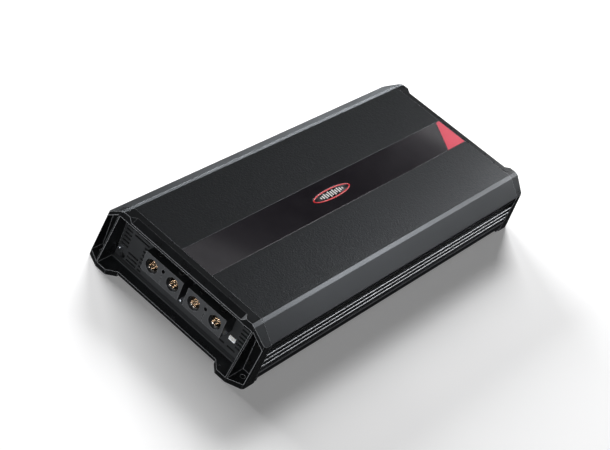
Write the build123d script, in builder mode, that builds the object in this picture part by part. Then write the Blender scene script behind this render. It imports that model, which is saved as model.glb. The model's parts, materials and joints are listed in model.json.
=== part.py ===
from build123d import *
import os
from math import cos, radians, sin, tan

os.makedirs("parts", exist_ok=True)

# A long, low car amplifier.  X runs along its length with the power terminals at -X,
# Z is up and the origin is on the mounting surface below the middle of the body.

# ---------------------------------------------------------------- driving dimensions, mm
body_length = 473.0        # between the two end caps
half_width = 112.0         # at the lower edge of the shoulders
top_half_width = 92.5      # flat top, to the ridge
top_z = 73.0
shoulder_z = 55.5          # lower edge of the sloping shoulders
body_bottom_z = 5.0        # the feet hold the body this high
seam_x = body_length / 2

cover_wall = 3.6
cover_edge_z = 54.3
ridge_bevel = 2.5

plate_thickness = 1.5      # bottom plate
plate_half_width = 104.0
inside_floor_z = body_bottom_z + plate_thickness

# finned side extrusions
sink_inner_y = 97.0
sink_wall_y = 102.5
fin_pitch = 7.75
fin_thickness = 2.4
first_fin_z = 22.8
fin_count = 3
rail_top_z = 16.2

# stripe along the top
stripe_width = 42.5
inlay_depth = 1.0
accent_corner_x = 229.0    # start of the red corner on its short side
accent_point_x = 198.0     # and on its long side

# end caps, measured outwards from the seam
cap_rib_y = 94.1           # front ribs beside the main opening
cap_side_y = 110.4         # outer front edges
cap_rib_thickness = 2.0
cap_floor_z = 6.7
cap_foot_inner_y = 71.0
cap_foot_depths = (26.4, 18.8)   # ribs and sides, at the mounting surface
cap_floor_depths = (27.4, 18.6)  # and where the foot meets the leaning front
cap_top_depths = (14.6, 8.4)     # and at the top
cap_edge_break = 3.0             # slanted edge next to the body's sides
cap_middle_depth = 17.5
cap_middle_z = 3.0
cap_roof_z = 66.0
trough_rear = cap_top_depths[1]
trough_front = 15.0
trough_front_z = 68.4
foot_overlap = 5.0         # how far the feet reach under the body
foot_width = 32.0
foot_y = 95.0
cut_reach = 40.0           # longer than any cap is deep

# mounting holes in the corner pockets
mount_depth = 10.0
mount_y = 102.5
mount_hole_r = 2.75

# end panels
panel_thickness = 1.6
panel_half_width = 96.8
panel_top_z = 69.2
panel_lip = 5.6
lip_root = 1.0             # how far the lip reaches into the upright
lip_side_gap = 0.5
slot_height = 2.4
slot_pitch = 5.0
top_slot_z = 50.2

# cable terminals
housing_width = 53.0
housing_height = 24.0
housing_depth = 19.5
terminal_z = 46.0
terminal_spacing = 29.8
terminal_block_width = 18.0
terminal_block_height = 19.0
terminal_tail = 14.0       # behind the seam
terminal_recess = 3.0      # the brass lies this far behind the housing's face
bore_r = 6.2
bore_depth = 22.0
mouth_r = 8.2              # tapered mouth, at the face
mouth_throat_r = 7.2       # and in front of the brass
mouth_taper = 32.0         # degrees
set_screw_r = 3.95
set_screw_length = 5.4
housing_screw_z = 51.0
positive_y = 20.8
negative_y = -39.3
speaker_y = 62.0

# cooling fans
fan_size = 40.0
fan_depth = 20.0
fan_y = 66.5
fan_z = 31.5
fan_bore_r = 18.9
rotor_r = 17.7             # to the blade tips, along their middle
rotor_hub_r = 10.0
fan_pin_r = 1.45
blade_count = 7

# circuit boards
board_z = 14.0
board_thickness = 1.6
board_half_width = 94.8
board_end_x = 228.0
board_top_z = board_z + board_thickness
signal_board_z = 28.0
signal_top_z = signal_board_z + board_thickness

screw_r = 1.45
tapped_r = 1.5
gap = 0.1                  # assembly gap between touching pieces
running_gap = 0.05         # radial, around pieces that turn or slide


def save(builder, label):
    """Name a finished sub-part and write it."""
    builder.part.label = label
    export_step(builder.part, f"parts/{label}.step")


def polygon(points, mode=Mode.ADD):
    """A filled outline in the sketch that is open."""
    Polygon(*points, align=None, mode=mode)


def pan_screw(head_r, head_height, length):
    """Pan-head screw with a hexagonal socket, its shank along +Z and its head below z = 0."""
    socket_depth = head_height * 0.55
    with BuildPart() as one:
        with BuildSketch(Plane.XY):
            Circle(screw_r)
        extrude(amount=length)
        with BuildSketch(Plane.XY):
            Circle(head_r)
        extrude(amount=-head_height)
        with BuildSketch(Plane.XY.offset(-head_height)):
            RegularPolygon(head_r * 0.5, 6)
        extrude(amount=socket_depth, mode=Mode.SUBTRACT)
    return one.part


def facing(x, y, z, direction):
    """Plane at a point, looking along direction."""
    return Plane(origin=(x, y, z), z_dir=direction)


def place(part, seat, direction):
    """Add a part to the open builder, its base on the seat and its +Z along direction."""
    with Locations(Plane(origin=seat, z_dir=direction).location):
        add(part)


# ---------------------------------------------------------------- shared outline
shoulder_slope = (top_z - shoulder_z) / (half_width - top_half_width)
slope_length = ((top_z - shoulder_z) ** 2 + (half_width - top_half_width) ** 2) ** 0.5
slope_y = (half_width - top_half_width) / slope_length
slope_z = (top_z - shoulder_z) / slope_length
bevel_top = (top_half_width - ridge_bevel, top_z)
bevel_low = (top_half_width + ridge_bevel * slope_y, top_z - ridge_bevel * slope_z)


def outline_right(bottom_z):
    """Right half of the body's outer outline, from the bottom up to the flat top."""
    return [(half_width, bottom_z), (half_width, shoulder_z), bevel_low, bevel_top]


def mirrored(points):
    """The same points on the other side, in reverse, so that a closed outline results."""
    return points + [(-y, z) for y, z in reversed(points)]


# ---------------------------------------------------------------- top cover and inlays
# the inner faces of the cover lie one wall below the outer ones
inner_top_z = top_z - cover_wall
inner_drop = cover_wall / slope_y
inner_ridge_y = top_half_width + (top_z - inner_drop - inner_top_z) / shoulder_slope
inner_edge_y = top_half_width + (top_z - inner_drop - cover_edge_z) / shoulder_slope

accent_outline = [
    (accent_corner_x, stripe_width / 2),
    (seam_x, stripe_width / 2),
    (seam_x, -stripe_width / 2),
    (accent_point_x, -stripe_width / 2),
]
emblem_x = -9.0
emblem_length = 66.0
emblem_width = 14.5

with BuildPart() as top_cover:
    with BuildSketch(Plane.YZ.offset(-seam_x)):
        polygon(mirrored(outline_right(cover_edge_z)))
        inner_outline = mirrored([(inner_edge_y, cover_edge_z), (inner_ridge_y, inner_top_z)])
        polygon(inner_outline, mode=Mode.SUBTRACT)
    extrude(amount=body_length)
    with BuildSketch(Plane.XY.offset(top_z)):
        Rectangle(body_length, stripe_width)
    extrude(amount=-inlay_depth, mode=Mode.SUBTRACT)
save(top_cover, "top_cover")

with BuildPart() as stripe_inlay:
    with BuildSketch(Plane.XY.offset(top_z - inlay_depth)):
        polygon([
            (-seam_x, stripe_width / 2),
            (accent_corner_x, stripe_width / 2),
            (accent_point_x, -stripe_width / 2),
            (-seam_x, -stripe_width / 2),
        ])
        with Locations((emblem_x, 0)):
            Ellipse(emblem_length / 2, emblem_width / 2, mode=Mode.SUBTRACT)
    extrude(amount=inlay_depth)
save(stripe_inlay, "stripe_inlay")

with BuildPart() as accent_inlay:
    with BuildSketch(Plane.XY.offset(top_z - inlay_depth)):
        polygon(accent_outline)
    extrude(amount=inlay_depth)
save(accent_inlay, "accent_inlay")

emblem_rise = 0.3
with BuildPart() as emblem_plate:
    with BuildSketch(Plane.XY.offset(top_z - inlay_depth)):
        with Locations((emblem_x, 0)):
            Ellipse(emblem_length / 2 - gap, emblem_width / 2 - gap)
    extrude(amount=inlay_depth + emblem_rise)
save(emblem_plate, "emblem_plate")

# ---------------------------------------------------------------- finned side extrusions
hook_y = 105.5
hook_top_z = cover_edge_z + 4.5
hook_slope_z = cover_edge_z + 1.8
flange_low_z = 43.8
flange_top_z = 48.9
flange_y = 111.0
flange_taper = 1.2
rail_step = 0.7
rail_face_y = 111.3
screw_wall_y = (sink_inner_y + sink_wall_y) / 2
bottom_screw_x = [-220.0, -110.0, 0.0, 110.0, 220.0]
cap_screw_z = [20.0, 44.0]
screw_bite = 12.0
clamp_screw_x = [-126.0, -82.0, -38.0, 6.0, 50.0]
clamp_z = 33.0
clamp_thread_depth = 4.2


def heatsink(side):
    """Side extrusion with three fins, a top flange and a bottom rail; side is +1 or -1."""
    with BuildPart() as sink:
        with BuildSketch(Plane.YZ.offset(-seam_x)):
            polygon([
                (side * sink_inner_y, inside_floor_z),
                (side * sink_inner_y, hook_top_z),
                (side * sink_wall_y, hook_top_z),
                (side * hook_y, hook_slope_z),
                (side * hook_y, flange_top_z),
                (side * flange_y, flange_top_z),
                (side * (flange_y - flange_taper), flange_low_z),
                (side * sink_wall_y, flange_low_z),
                (side * sink_wall_y, rail_top_z),
                (side * half_width, rail_top_z),
                (side * half_width, rail_top_z - fin_thickness),
                (side * rail_face_y, rail_top_z - fin_thickness - rail_step),
                (side * rail_face_y, body_bottom_z),
                (side * (plate_half_width + gap), body_bottom_z),
                (side * (plate_half_width + gap), inside_floor_z),
            ])
            for number in range(fin_count):
                fin_z = first_fin_z + number * fin_pitch
                tip_y = half_width - fin_thickness / 2
                with Locations((side * (sink_wall_y + tip_y) / 2, fin_z)):
                    Rectangle(tip_y - sink_wall_y, fin_thickness)
                with Locations((side * tip_y, fin_z)):
                    Circle(fin_thickness / 2)
        extrude(amount=body_length)
        # tapped holes: end caps, bottom plate and transistor clamp
        for end in (-1, 1):
            for hole_z in cap_screw_z:
                with BuildSketch(facing(end * seam_x, side * screw_wall_y, hole_z, (-end, 0, 0))):
                    Circle(tapped_r)
                extrude(amount=screw_bite, mode=Mode.SUBTRACT)
        for hole_x in bottom_screw_x:
            with BuildSketch(facing(hole_x, side * screw_wall_y, inside_floor_z, (0, 0, 1))):
                Circle(tapped_r)
            extrude(amount=screw_bite, mode=Mode.SUBTRACT)
        for hole_x in clamp_screw_x:
            with BuildSketch(facing(hole_x, side * sink_inner_y, clamp_z, (0, side, 0))):
                Circle(tapped_r)
            extrude(amount=clamp_thread_depth, mode=Mode.SUBTRACT)
    return sink


save(heatsink(1), "heatsink_left")
save(heatsink(-1), "heatsink_right")

# ---------------------------------------------------------------- bottom plate
plate_end_gap = 0.5
with BuildPart() as bottom_plate:
    with BuildSketch(Plane.XY.offset(body_bottom_z)):
        Rectangle(body_length - 2 * plate_end_gap, 2 * plate_half_width)
        for side in (-1, 1):
            with Locations(*[(x, side * screw_wall_y) for x in bottom_screw_x]):
                Circle(tapped_r + gap, mode=Mode.SUBTRACT)
    extrude(amount=plate_thickness)
save(bottom_plate, "bottom_plate")

bottom_screw = pan_screw(2.8, 1.8, 11.0)
with BuildPart() as bottom_screws:
    for side in (-1, 1):
        for screw_x in bottom_screw_x:
            place(bottom_screw, (screw_x, side * screw_wall_y, body_bottom_z), (0, 0, 1))
save(bottom_screws, "bottom_screws")

# ---------------------------------------------------------------- end caps
pocket_wall_x = 1.5        # wall between a corner pocket and the body
pocket_roof_inner_z = 66.2
pocket_roof_outer_z = 51.5
side_wall = 1.6
trough_end_y = 77.2
trough_flare_y = 82.4
middle_flare = 20.0


def cap_outline(depths):
    """Plan of a cap at one height: flat front between the ribs, slanted corners."""
    rib_depth, side_depth = depths
    half = [
        (seam_x, half_width),
        (seam_x + side_depth - cap_edge_break, half_width),
        (seam_x + side_depth, cap_side_y),
        (seam_x + rib_depth, cap_rib_y),
    ]
    return half + [(x, -y) for x, y in reversed(half)]


with BuildPart() as trough:
    # sloping step in the top between the two ears, ending in slanted corner faces
    with BuildSketch(Plane.XZ):
        polygon([
            (seam_x + trough_rear, top_z),
            (seam_x + trough_front, trough_front_z),
            (seam_x + cut_reach, trough_front_z),
            (seam_x + cut_reach, top_z + trough_rear),
            (seam_x + trough_rear, top_z + trough_rear),
        ])
    extrude(amount=half_width, both=True)
    for side in (-1, 1):
        rear = Vector(seam_x + trough_rear, side * trough_end_y, top_z)
        flare = Vector(seam_x + cap_top_depths[0], side * trough_flare_y, top_z)
        low = Vector(seam_x + trough_front, side * trough_end_y, trough_front_z)
        normal = (flare - rear).cross(low - rear).normalized()
        if normal.Y * side < 0:
            normal = -normal
        split(bisect_by=Plane(origin=rear, z_dir=normal), keep=Keep.BOTTOM)

with BuildPart() as end_cap_signal:
    # foot part, then the body of the cap, leaning back towards the top
    with BuildSketch(Plane.XY):
        polygon(cap_outline(cap_foot_depths))
    with BuildSketch(Plane.XY.offset(cap_floor_z)):
        polygon(cap_outline(cap_floor_depths))
    loft(ruled=True)
    with BuildSketch(Plane.XY.offset(cap_floor_z)):
        polygon(cap_outline(cap_floor_depths))
    with BuildSketch(Plane.XY.offset(top_z)):
        polygon(cap_outline(cap_top_depths))
    loft(ruled=True)
    with BuildSketch(Plane.YZ.offset(seam_x - 1)):
        polygon(mirrored(outline_right(0.0)))
    extrude(amount=cut_reach, mode=Mode.INTERSECT)
    # feet reaching under the body
    for side in (-1, 1):
        with BuildSketch(Plane.XY):
            with Locations((seam_x - foot_overlap / 2, side * foot_y)):
                Rectangle(foot_overlap, foot_width)
        extrude(amount=body_bottom_z - gap)
    # main opening between the ribs
    opening_half = cap_rib_y - cap_rib_thickness / 2
    with BuildSketch(Plane.YZ.offset(seam_x)):
        with Locations((0, (cap_floor_z + cap_roof_z) / 2)):
            Rectangle(2 * opening_half, cap_roof_z - cap_floor_z)
    extrude(amount=cut_reach, mode=Mode.SUBTRACT)
    add(trough.part, mode=Mode.SUBTRACT)
    # corner pockets for the mounting screws
    pocket_inner = cap_rib_y + cap_rib_thickness / 2
    pocket_outer = half_width - side_wall
    for side in (-1, 1):
        with BuildSketch(Plane.YZ.offset(seam_x + pocket_wall_x)):
            polygon([
                (side * pocket_inner, cap_floor_z),
                (side * pocket_outer, cap_floor_z),
                (side * pocket_outer, pocket_roof_outer_z),
                (side * pocket_inner, pocket_roof_inner_z),
            ])
        extrude(amount=cut_reach, mode=Mode.SUBTRACT)
    # the floor steps back and up between the feet
    with BuildSketch(Plane.XY.offset(-1)):
        polygon([
            (seam_x + cap_middle_depth, cap_foot_inner_y),
            (seam_x + cap_middle_depth, -cap_foot_inner_y),
            (seam_x + cap_middle_depth + middle_flare, -cap_foot_inner_y - middle_flare),
            (seam_x + cap_middle_depth + middle_flare, cap_foot_inner_y + middle_flare),
        ])
    extrude(amount=cap_floor_z + 2, mode=Mode.SUBTRACT)
    with BuildSketch(Plane.XY.offset(-1)):
        with Locations((seam_x, 0)):
            Rectangle(2 * cut_reach, 2 * cap_foot_inner_y)
    extrude(amount=cap_middle_z + 1, mode=Mode.SUBTRACT)
    # holes for the mounting screws and for the screws into the side extrusions
    with BuildSketch(Plane.XY.offset(-1)):
        with Locations(*[(seam_x + mount_depth, side * mount_y) for side in (-1, 1)]):
            Circle(mount_hole_r)
    extrude(amount=cap_floor_z + 2, mode=Mode.SUBTRACT)
    with BuildSketch(Plane.YZ.offset(seam_x - 1)):
        for side in (-1, 1):
            with Locations(*[(side * screw_wall_y, z) for z in cap_screw_z]):
                Circle(tapped_r + gap)
    extrude(amount=4, mode=Mode.SUBTRACT)
save(end_cap_signal, "end_cap_signal")

with BuildPart() as end_cap_power:
    add(mirror(end_cap_signal.part, about=Plane.YZ))
save(end_cap_power, "end_cap_power")

cap_screw = pan_screw(2.7, 2.2, 12.0)
with BuildPart() as cap_screws:
    for end in (-1, 1):
        for side in (-1, 1):
            for screw_z in cap_screw_z:
                seat_x = end * (seam_x + pocket_wall_x)
                place(cap_screw, (seat_x, side * screw_wall_y, screw_z), (-end, 0, 0))
save(cap_screws, "cap_screws")

# ---------------------------------------------------------------- end panels
panel_screw_y = [-89.0, 0.0, 89.0]
panel_screw_z = 19.5
header_y = -70.4
header_z = 26.0
header_width = 8.2
header_height = 5.0
knob_y = [-10.0, -20.0, -30.0, -40.0]
knob_r = 3.1
control_z = signal_top_z + 6.5
rca_y = [26.0, 12.0]
rca_shell_r = 4.15
rca_collar_r = 4.4
switch_y = 0.0
switch_width = 7.0
switch_slot_height = 3.4
led_y = [-10.0, -20.0, -30.0]
led_z = 52.0
led_r = 1.5

# ventilation slots, as distances from the middle of the panel
wide_slot = (57.0, 78.5)
hub_side_slot = (56.5, 62.5)
low_slot = (64.0, 79.0)
edge_slot = (81.0, 91.0)
column_slot = (76.0, 90.5)
bottom_slots = [(56.5, 64.0), (67.3, 79.0)]
bottom_slot_z = 14.0
fan_rows = 9
wide_rows = 2              # the rows above the hub
edge_rows = 6
column_rows = 7
cutout_y = 84.5
cutout_z = 11.5
cutout_r = 3.6
window_clear = 0.3
control_clear = 0.5


def slot(side, span, z):
    """One ventilation slot in the sketch of an end panel."""
    y_from, y_to = span
    with Locations((side * (y_from + y_to) / 2, z)):
        SlotOverall(y_to - y_from, slot_height, mode=Mode.SUBTRACT)


def fan_slots(side):
    """Slots in front of a fan, left plain over the middle of its hub."""
    for row in range(fan_rows):
        z = top_slot_z - row * slot_pitch
        if row < wide_rows:
            slot(side, wide_slot, z)
        else:
            slot(side, hub_side_slot, z)
        if row < edge_rows:
            slot(side, edge_slot, z)
        else:
            slot(side, low_slot, z)


def side_slots(side):
    """Column of short slots beside the terminals and a row of longer ones below."""
    for row in range(column_rows):
        slot(side, column_slot, top_slot_z - row * slot_pitch)
    for span in bottom_slots:
        slot(side, span, bottom_slot_z)


def window_shapes(centre_y):
    """Openings for the two terminal blocks of a housing, and for its screw."""
    with Locations((centre_y, terminal_z)):
        with GridLocations(terminal_spacing, 0, 2, 1):
            Rectangle(terminal_block_width + 2 * window_clear, terminal_block_height + 2 * window_clear)
    with Locations((centre_y, housing_screw_z)):
        Circle(tapped_r + gap)


def panel_sheet(end, fan_side):
    """Bent sheet: an upright with slots and screw holes, and a lip along its bottom."""
    corner_y = inner_ridge_y - gap
    corner_z = panel_top_z - (panel_half_width - corner_y) * shoulder_slope
    with BuildPart() as sheet:
        with BuildSketch(Plane.YZ.offset(end * (seam_x - panel_thickness / 2))):
            polygon(mirrored([
                (panel_half_width, inside_floor_z + gap),
                (panel_half_width, corner_z),
                (corner_y, panel_top_z),
            ]))
            fan_slots(fan_side)
            side_slots(-fan_side)
            with Locations(*[(y, panel_screw_z) for y in panel_screw_y]):
                Circle(tapped_r + gap, mode=Mode.SUBTRACT)
            with Locations((fan_side * cutout_y, cutout_z)):
                Circle(cutout_r, mode=Mode.SUBTRACT)
        extrude(amount=panel_thickness / 2, both=True)
        with BuildSketch(Plane.XY.offset(cap_floor_z)):
            with Locations((end * (seam_x + (panel_lip - lip_root) / 2), 0)):
                Rectangle(panel_lip + lip_root, 2 * (opening_half - lip_side_gap))
        extrude(amount=panel_thickness)
    return sheet.part


with BuildPart() as end_panel_power:
    add(panel_sheet(-1, 1))
    with BuildSketch(Plane.YZ.offset(-seam_x)):
        window_shapes(positive_y)
        window_shapes(negative_y)
        with Locations((header_y, header_z)):
            Rectangle(header_width + 2 * window_clear, header_height + 2 * window_clear)
    extrude(amount=panel_thickness + 1, both=True, mode=Mode.SUBTRACT)
save(end_panel_power, "end_panel_power")

with BuildPart() as end_panel_signal:
    add(panel_sheet(1, -1))
    with BuildSketch(Plane.YZ.offset(seam_x)):
        window_shapes(speaker_y)
        with Locations(*[(y, control_z) for y in knob_y]):
            Circle(knob_r + control_clear)
        with Locations(*[(y, control_z) for y in rca_y]):
            Circle(rca_collar_r + gap)
        with Locations((switch_y, control_z)):
            Rectangle(switch_width + 2 * gap, switch_slot_height)
        with Locations(*[(y, led_z) for y in led_y]):
            Circle(led_r + gap)
    extrude(amount=panel_thickness + 1, both=True, mode=Mode.SUBTRACT)
save(end_panel_signal, "end_panel_signal")

bracket_depth = 5.5
bracket_width = 5.0
bracket_height = 17.5
panel_back_x = seam_x - panel_thickness - gap
with BuildPart() as panel_brackets:
    for end in (-1, 1):
        bracket_x = end * (panel_back_x - bracket_depth / 2)
        for bracket_y in panel_screw_y:
            with Locations((bracket_x, bracket_y, inside_floor_z + bracket_height / 2)):
                Box(bracket_depth, bracket_width, bracket_height)
            with BuildSketch(facing(end * panel_back_x, bracket_y, panel_screw_z, (-end, 0, 0))):
                Circle(tapped_r)
            extrude(amount=bracket_depth, mode=Mode.SUBTRACT)
save(panel_brackets, "panel_brackets")

panel_screw = pan_screw(2.7, 1.8, 6.0)
with BuildPart() as end_panel_screws:
    for end in (-1, 1):
        for screw_y in panel_screw_y:
            place(panel_screw, (end * seam_x, screw_y, panel_screw_z), (-end, 0, 0))
save(end_panel_screws, "end_panel_screws")

# ---------------------------------------------------------------- cable terminals
housing_x = seam_x + housing_depth / 2
set_screw_x = seam_x + 9.0
set_screw_z = terminal_z + bore_r + 0.2   # backed out just clear of the cable bore
set_screw_clear = 0.5
socket_r = 2.3
socket_depth = 3.2
screw_chamfer = 0.5
housing_screw_head_r = 2.2
groove_depth = 0.6
groove_width = 0.7
cavity_gap = 0.2
housing_screw_sink = 14.0
mouth_depth = (mouth_r - mouth_throat_r) / tan(radians(mouth_taper))


def terminal_housing(end, centre_y):
    """Moulded housing with two cable mouths, open at the back for the brass blocks."""
    with BuildPart() as housing:
        with Locations((end * housing_x, centre_y, terminal_z)):
            Box(housing_depth, housing_width, housing_height)
        front_x = end * (seam_x + housing_depth)
        back_x = end * seam_x
        inward = (-end, 0, 0)
        for shift in (-terminal_spacing / 2, terminal_spacing / 2):
            hole_y = centre_y + shift
            with BuildSketch(facing(front_x, hole_y, terminal_z, inward)):
                Circle(mouth_r)
            extrude(amount=mouth_depth, taper=mouth_taper, mode=Mode.SUBTRACT)
            with BuildSketch(facing(front_x, hole_y, terminal_z, inward)):
                Circle(mouth_throat_r)
            extrude(amount=terminal_recess, mode=Mode.SUBTRACT)
            cavity_depth = housing_depth - terminal_recess
            with Locations((back_x + end * cavity_depth / 2, hole_y, terminal_z)):
                Box(
                    cavity_depth,
                    terminal_block_width + cavity_gap,
                    terminal_block_height + cavity_gap,
                    mode=Mode.SUBTRACT,
                )
            with BuildSketch(facing(end * set_screw_x, hole_y, terminal_z, (0, 0, 1))):
                Circle(set_screw_r + set_screw_clear)
            extrude(amount=housing_height, mode=Mode.SUBTRACT)
        # parting groove between the two halves, and the screw that holds the housing
        with Locations((front_x, centre_y, terminal_z)):
            Box(2 * groove_depth, groove_width, housing_height, mode=Mode.SUBTRACT)
        with BuildSketch(facing(front_x, centre_y, housing_screw_z, inward)):
            Circle(housing_screw_head_r + gap)
        extrude(amount=housing_screw_sink, mode=Mode.SUBTRACT)
        with BuildSketch(facing(front_x, centre_y, housing_screw_z, inward)):
            Circle(tapped_r + gap)
        extrude(amount=housing_depth, mode=Mode.SUBTRACT)
    return housing


def terminal_blocks(end, centre_y):
    """Two brass blocks, each with a blind cable bore and a tapped hole for its set screw."""
    front_x = end * (seam_x + housing_depth - terminal_recess)
    block_length = housing_depth - terminal_recess + terminal_tail
    with BuildPart() as blocks:
        for shift in (-terminal_spacing / 2, terminal_spacing / 2):
            hole_y = centre_y + shift
            with Locations((front_x - end * block_length / 2, hole_y, terminal_z)):
                Box(block_length, terminal_block_width, terminal_block_height)
            with BuildSketch(facing(front_x, hole_y, terminal_z, (-end, 0, 0))):
                Circle(bore_r)
            extrude(amount=bore_depth, mode=Mode.SUBTRACT)
            with BuildSketch(facing(end * set_screw_x, hole_y, terminal_z, (0, 0, 1))):
                Circle(set_screw_r + running_gap)
            extrude(amount=terminal_block_height, mode=Mode.SUBTRACT)
    return blocks


def set_screw(end, hole_y):
    """Grub screw with a hexagonal socket, backed out so that the cable bore is free."""
    with BuildPart() as grub:
        with BuildSketch(facing(end * set_screw_x, hole_y, set_screw_z, (0, 0, 1))):
            Circle(set_screw_r)
        extrude(amount=set_screw_length)
        with BuildSketch(Plane.XY.offset(set_screw_z + set_screw_length)):
            with Locations((end * set_screw_x, hole_y)):
                RegularPolygon(socket_r, 6)
        extrude(amount=-socket_depth, mode=Mode.SUBTRACT)
        chamfer(grub.faces().sort_by(Axis.Z)[0].edges(), screw_chamfer)
    return grub


save(terminal_housing(-1, positive_y), "power_housing_positive")
save(terminal_housing(-1, negative_y), "power_housing_negative")
save(terminal_housing(1, speaker_y), "speaker_housing")
save(terminal_blocks(-1, positive_y), "power_terminals_positive")
save(terminal_blocks(-1, negative_y), "power_terminals_negative")
save(terminal_blocks(1, speaker_y), "speaker_terminals")

power_hole_y = [
    centre + shift
    for centre in (positive_y, negative_y)
    for shift in (terminal_spacing / 2, -terminal_spacing / 2)
]
for number, hole_y in enumerate(power_hole_y, start=1):
    save(set_screw(-1, hole_y), f"power_set_screw_{number}")
for number, shift in enumerate((terminal_spacing / 2, -terminal_spacing / 2), start=1):
    save(set_screw(1, speaker_y + shift), f"speaker_set_screw_{number}")

housing_screw = pan_screw(housing_screw_head_r, 1.8, 10.0)
with BuildPart() as housing_screws:
    for end, centre_y in ((-1, positive_y), (-1, negative_y), (1, speaker_y)):
        head_x = end * (seam_x + housing_depth - housing_screw_sink)
        place(housing_screw, (head_x, centre_y, housing_screw_z), (-end, 0, 0))
save(housing_screws, "housing_screws")

busbar_thickness = 2.0
busbar_x = seam_x - terminal_tail - busbar_thickness / 2
busbar_width = terminal_spacing + 14.0
busbar_height = terminal_z + 7.0 - board_top_z
busbar_foot = 7.0


def busbar(centre_y):
    """Copper plate that joins the tails of two blocks to the main board."""
    with BuildPart() as bar:
        with Locations((-busbar_x, centre_y, board_top_z + busbar_height / 2)):
            Box(busbar_thickness, busbar_width, busbar_height)
        with Locations((-busbar_x + busbar_foot / 2, centre_y, board_top_z + busbar_thickness / 2)):
            Box(busbar_foot + busbar_thickness, busbar_width, busbar_thickness)
    return bar


save(busbar(positive_y), "busbar_positive")
save(busbar(negative_y), "busbar_negative")

# small white header for the remote lead
header_depth = 9.0
header_front_x = seam_x + 0.8
header_wall = 0.7
header_pocket = 6.0
riser_thickness = 0.8
pin_size = 0.6
pin_length = 4.0
pin_spacing = 2.0
pin_x = seam_x - 3.2
with BuildPart() as aux_header:
    with Locations((-(header_front_x - header_depth / 2), header_y, header_z)):
        Box(header_depth, header_width, header_height)
    with Locations((-(header_front_x - header_pocket / 2), header_y, header_z)):
        Box(
            header_pocket,
            header_width - 2 * header_wall,
            header_height - 2 * header_wall,
            mode=Mode.SUBTRACT,
        )
    riser_height = header_z - header_height / 2 - board_top_z
    riser_x = header_front_x - header_depth + riser_thickness / 2
    with Locations((-riser_x, header_y, board_top_z + riser_height / 2)):
        Box(riser_thickness, header_width, riser_height)
save(aux_header, "aux_header")

with BuildPart() as aux_header_pins:
    with Locations(*[(-pin_x, header_y + shift, header_z) for shift in (-pin_spacing, 0.0, pin_spacing)]):
        Box(pin_length, pin_size, pin_size)
save(aux_header_pins, "aux_header_pins")

# ---------------------------------------------------------------- cooling fans
blade_sweep = 38.0
blade_chord = 13.0
blade_thickness = 1.2
hub_length = 14.0
hub_cap = 1.5
hub_clear = 0.5
blade_root = 1.5           # how deep the blades reach into the hub
spider_thickness = 2.5
spider_arm = 2.4
frame_corner = 3.0
frame_hole_spacing = 32.0
frame_hole_r = 1.6
pin_reach = fan_depth - 3.0


def fan_frame(end, centre_y):
    """Square frame with a round duct; its spider, on the inner side, carries the pin."""
    outer_x = panel_back_x - gap
    with BuildPart() as fan:
        with BuildSketch(facing(end * outer_x, centre_y, fan_z, (-end, 0, 0))):
            RectangleRounded(fan_size - gap, fan_size - gap, frame_corner)
            Circle(fan_bore_r, mode=Mode.SUBTRACT)
            with GridLocations(frame_hole_spacing, frame_hole_spacing, 2, 2):
                Circle(frame_hole_r, mode=Mode.SUBTRACT)
        extrude(amount=fan_depth)
        spider = facing(end * (outer_x - fan_depth), centre_y, fan_z, (end, 0, 0))
        with BuildSketch(spider):
            Circle(rotor_hub_r)
            with Locations(Location((0, 0), 45), Location((0, 0), 135)):
                Rectangle(2 * fan_bore_r + 1, spider_arm)
        extrude(amount=spider_thickness)
        with BuildSketch(spider):
            Circle(fan_pin_r)
        extrude(amount=pin_reach)
    return fan


def fan_rotor(end, centre_y):
    """Hub with swept blades that turns on the frame's pin."""
    hub_back_x = panel_back_x - gap - fan_depth + spider_thickness + hub_clear
    outward = (end, 0, 0)
    with BuildPart() as rotor:
        hub_plane = facing(end * hub_back_x, centre_y, fan_z, outward)
        with BuildSketch(hub_plane):
            Circle(rotor_hub_r)
            Circle(fan_pin_r + running_gap, mode=Mode.SUBTRACT)
        extrude(amount=hub_length)
        with BuildSketch(hub_plane.offset(hub_length)):
            Circle(rotor_hub_r)
        extrude(amount=hub_cap)
        middle = Vector(end * (hub_back_x + hub_length / 2), centre_y, fan_z)
        for number in range(blade_count):
            angle = radians(360 * number / blade_count)
            radial = Vector(0, cos(angle), sin(angle))
            tangent = Vector(0, -sin(angle), cos(angle))
            chord = Vector(1, 0, 0) * cos(radians(blade_sweep)) + tangent * sin(radians(blade_sweep))
            root = middle + radial * (rotor_hub_r - blade_root)
            with BuildSketch(Plane(origin=root, x_dir=chord, z_dir=radial)):
                Rectangle(blade_chord, blade_thickness)
            extrude(amount=rotor_r - rotor_hub_r + blade_root)
    return rotor


save(fan_frame(-1, fan_y), "intake_fan_frame")
save(fan_rotor(-1, fan_y), "intake_fan_rotor")
save(fan_frame(1, -fan_y), "exhaust_fan_frame")
save(fan_rotor(1, -fan_y), "exhaust_fan_rotor")

# ---------------------------------------------------------------- circuit boards
fan_notch_x = 212.0
fan_notch_y = 44.0
signal_notch_x = 182.0
signal_notch_y = 36.0
signal_board_y = -6.0
signal_board_width = 79.0
signal_board_length = 44.0
signal_board_x = panel_back_x - 1.0 - signal_board_length / 2
standoff_r = 3.0
board_corner = 12.0
board_fix = [(x, y) for x in (-205.0, -90.0, 60.0, 170.0) for y in (-40.0, 40.0)]
signal_fix = [
    (signal_board_x + dx, signal_board_y + dy)
    for dx in (-18.0, 6.0)
    for dy in (-36.0, 36.0)
]

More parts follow.
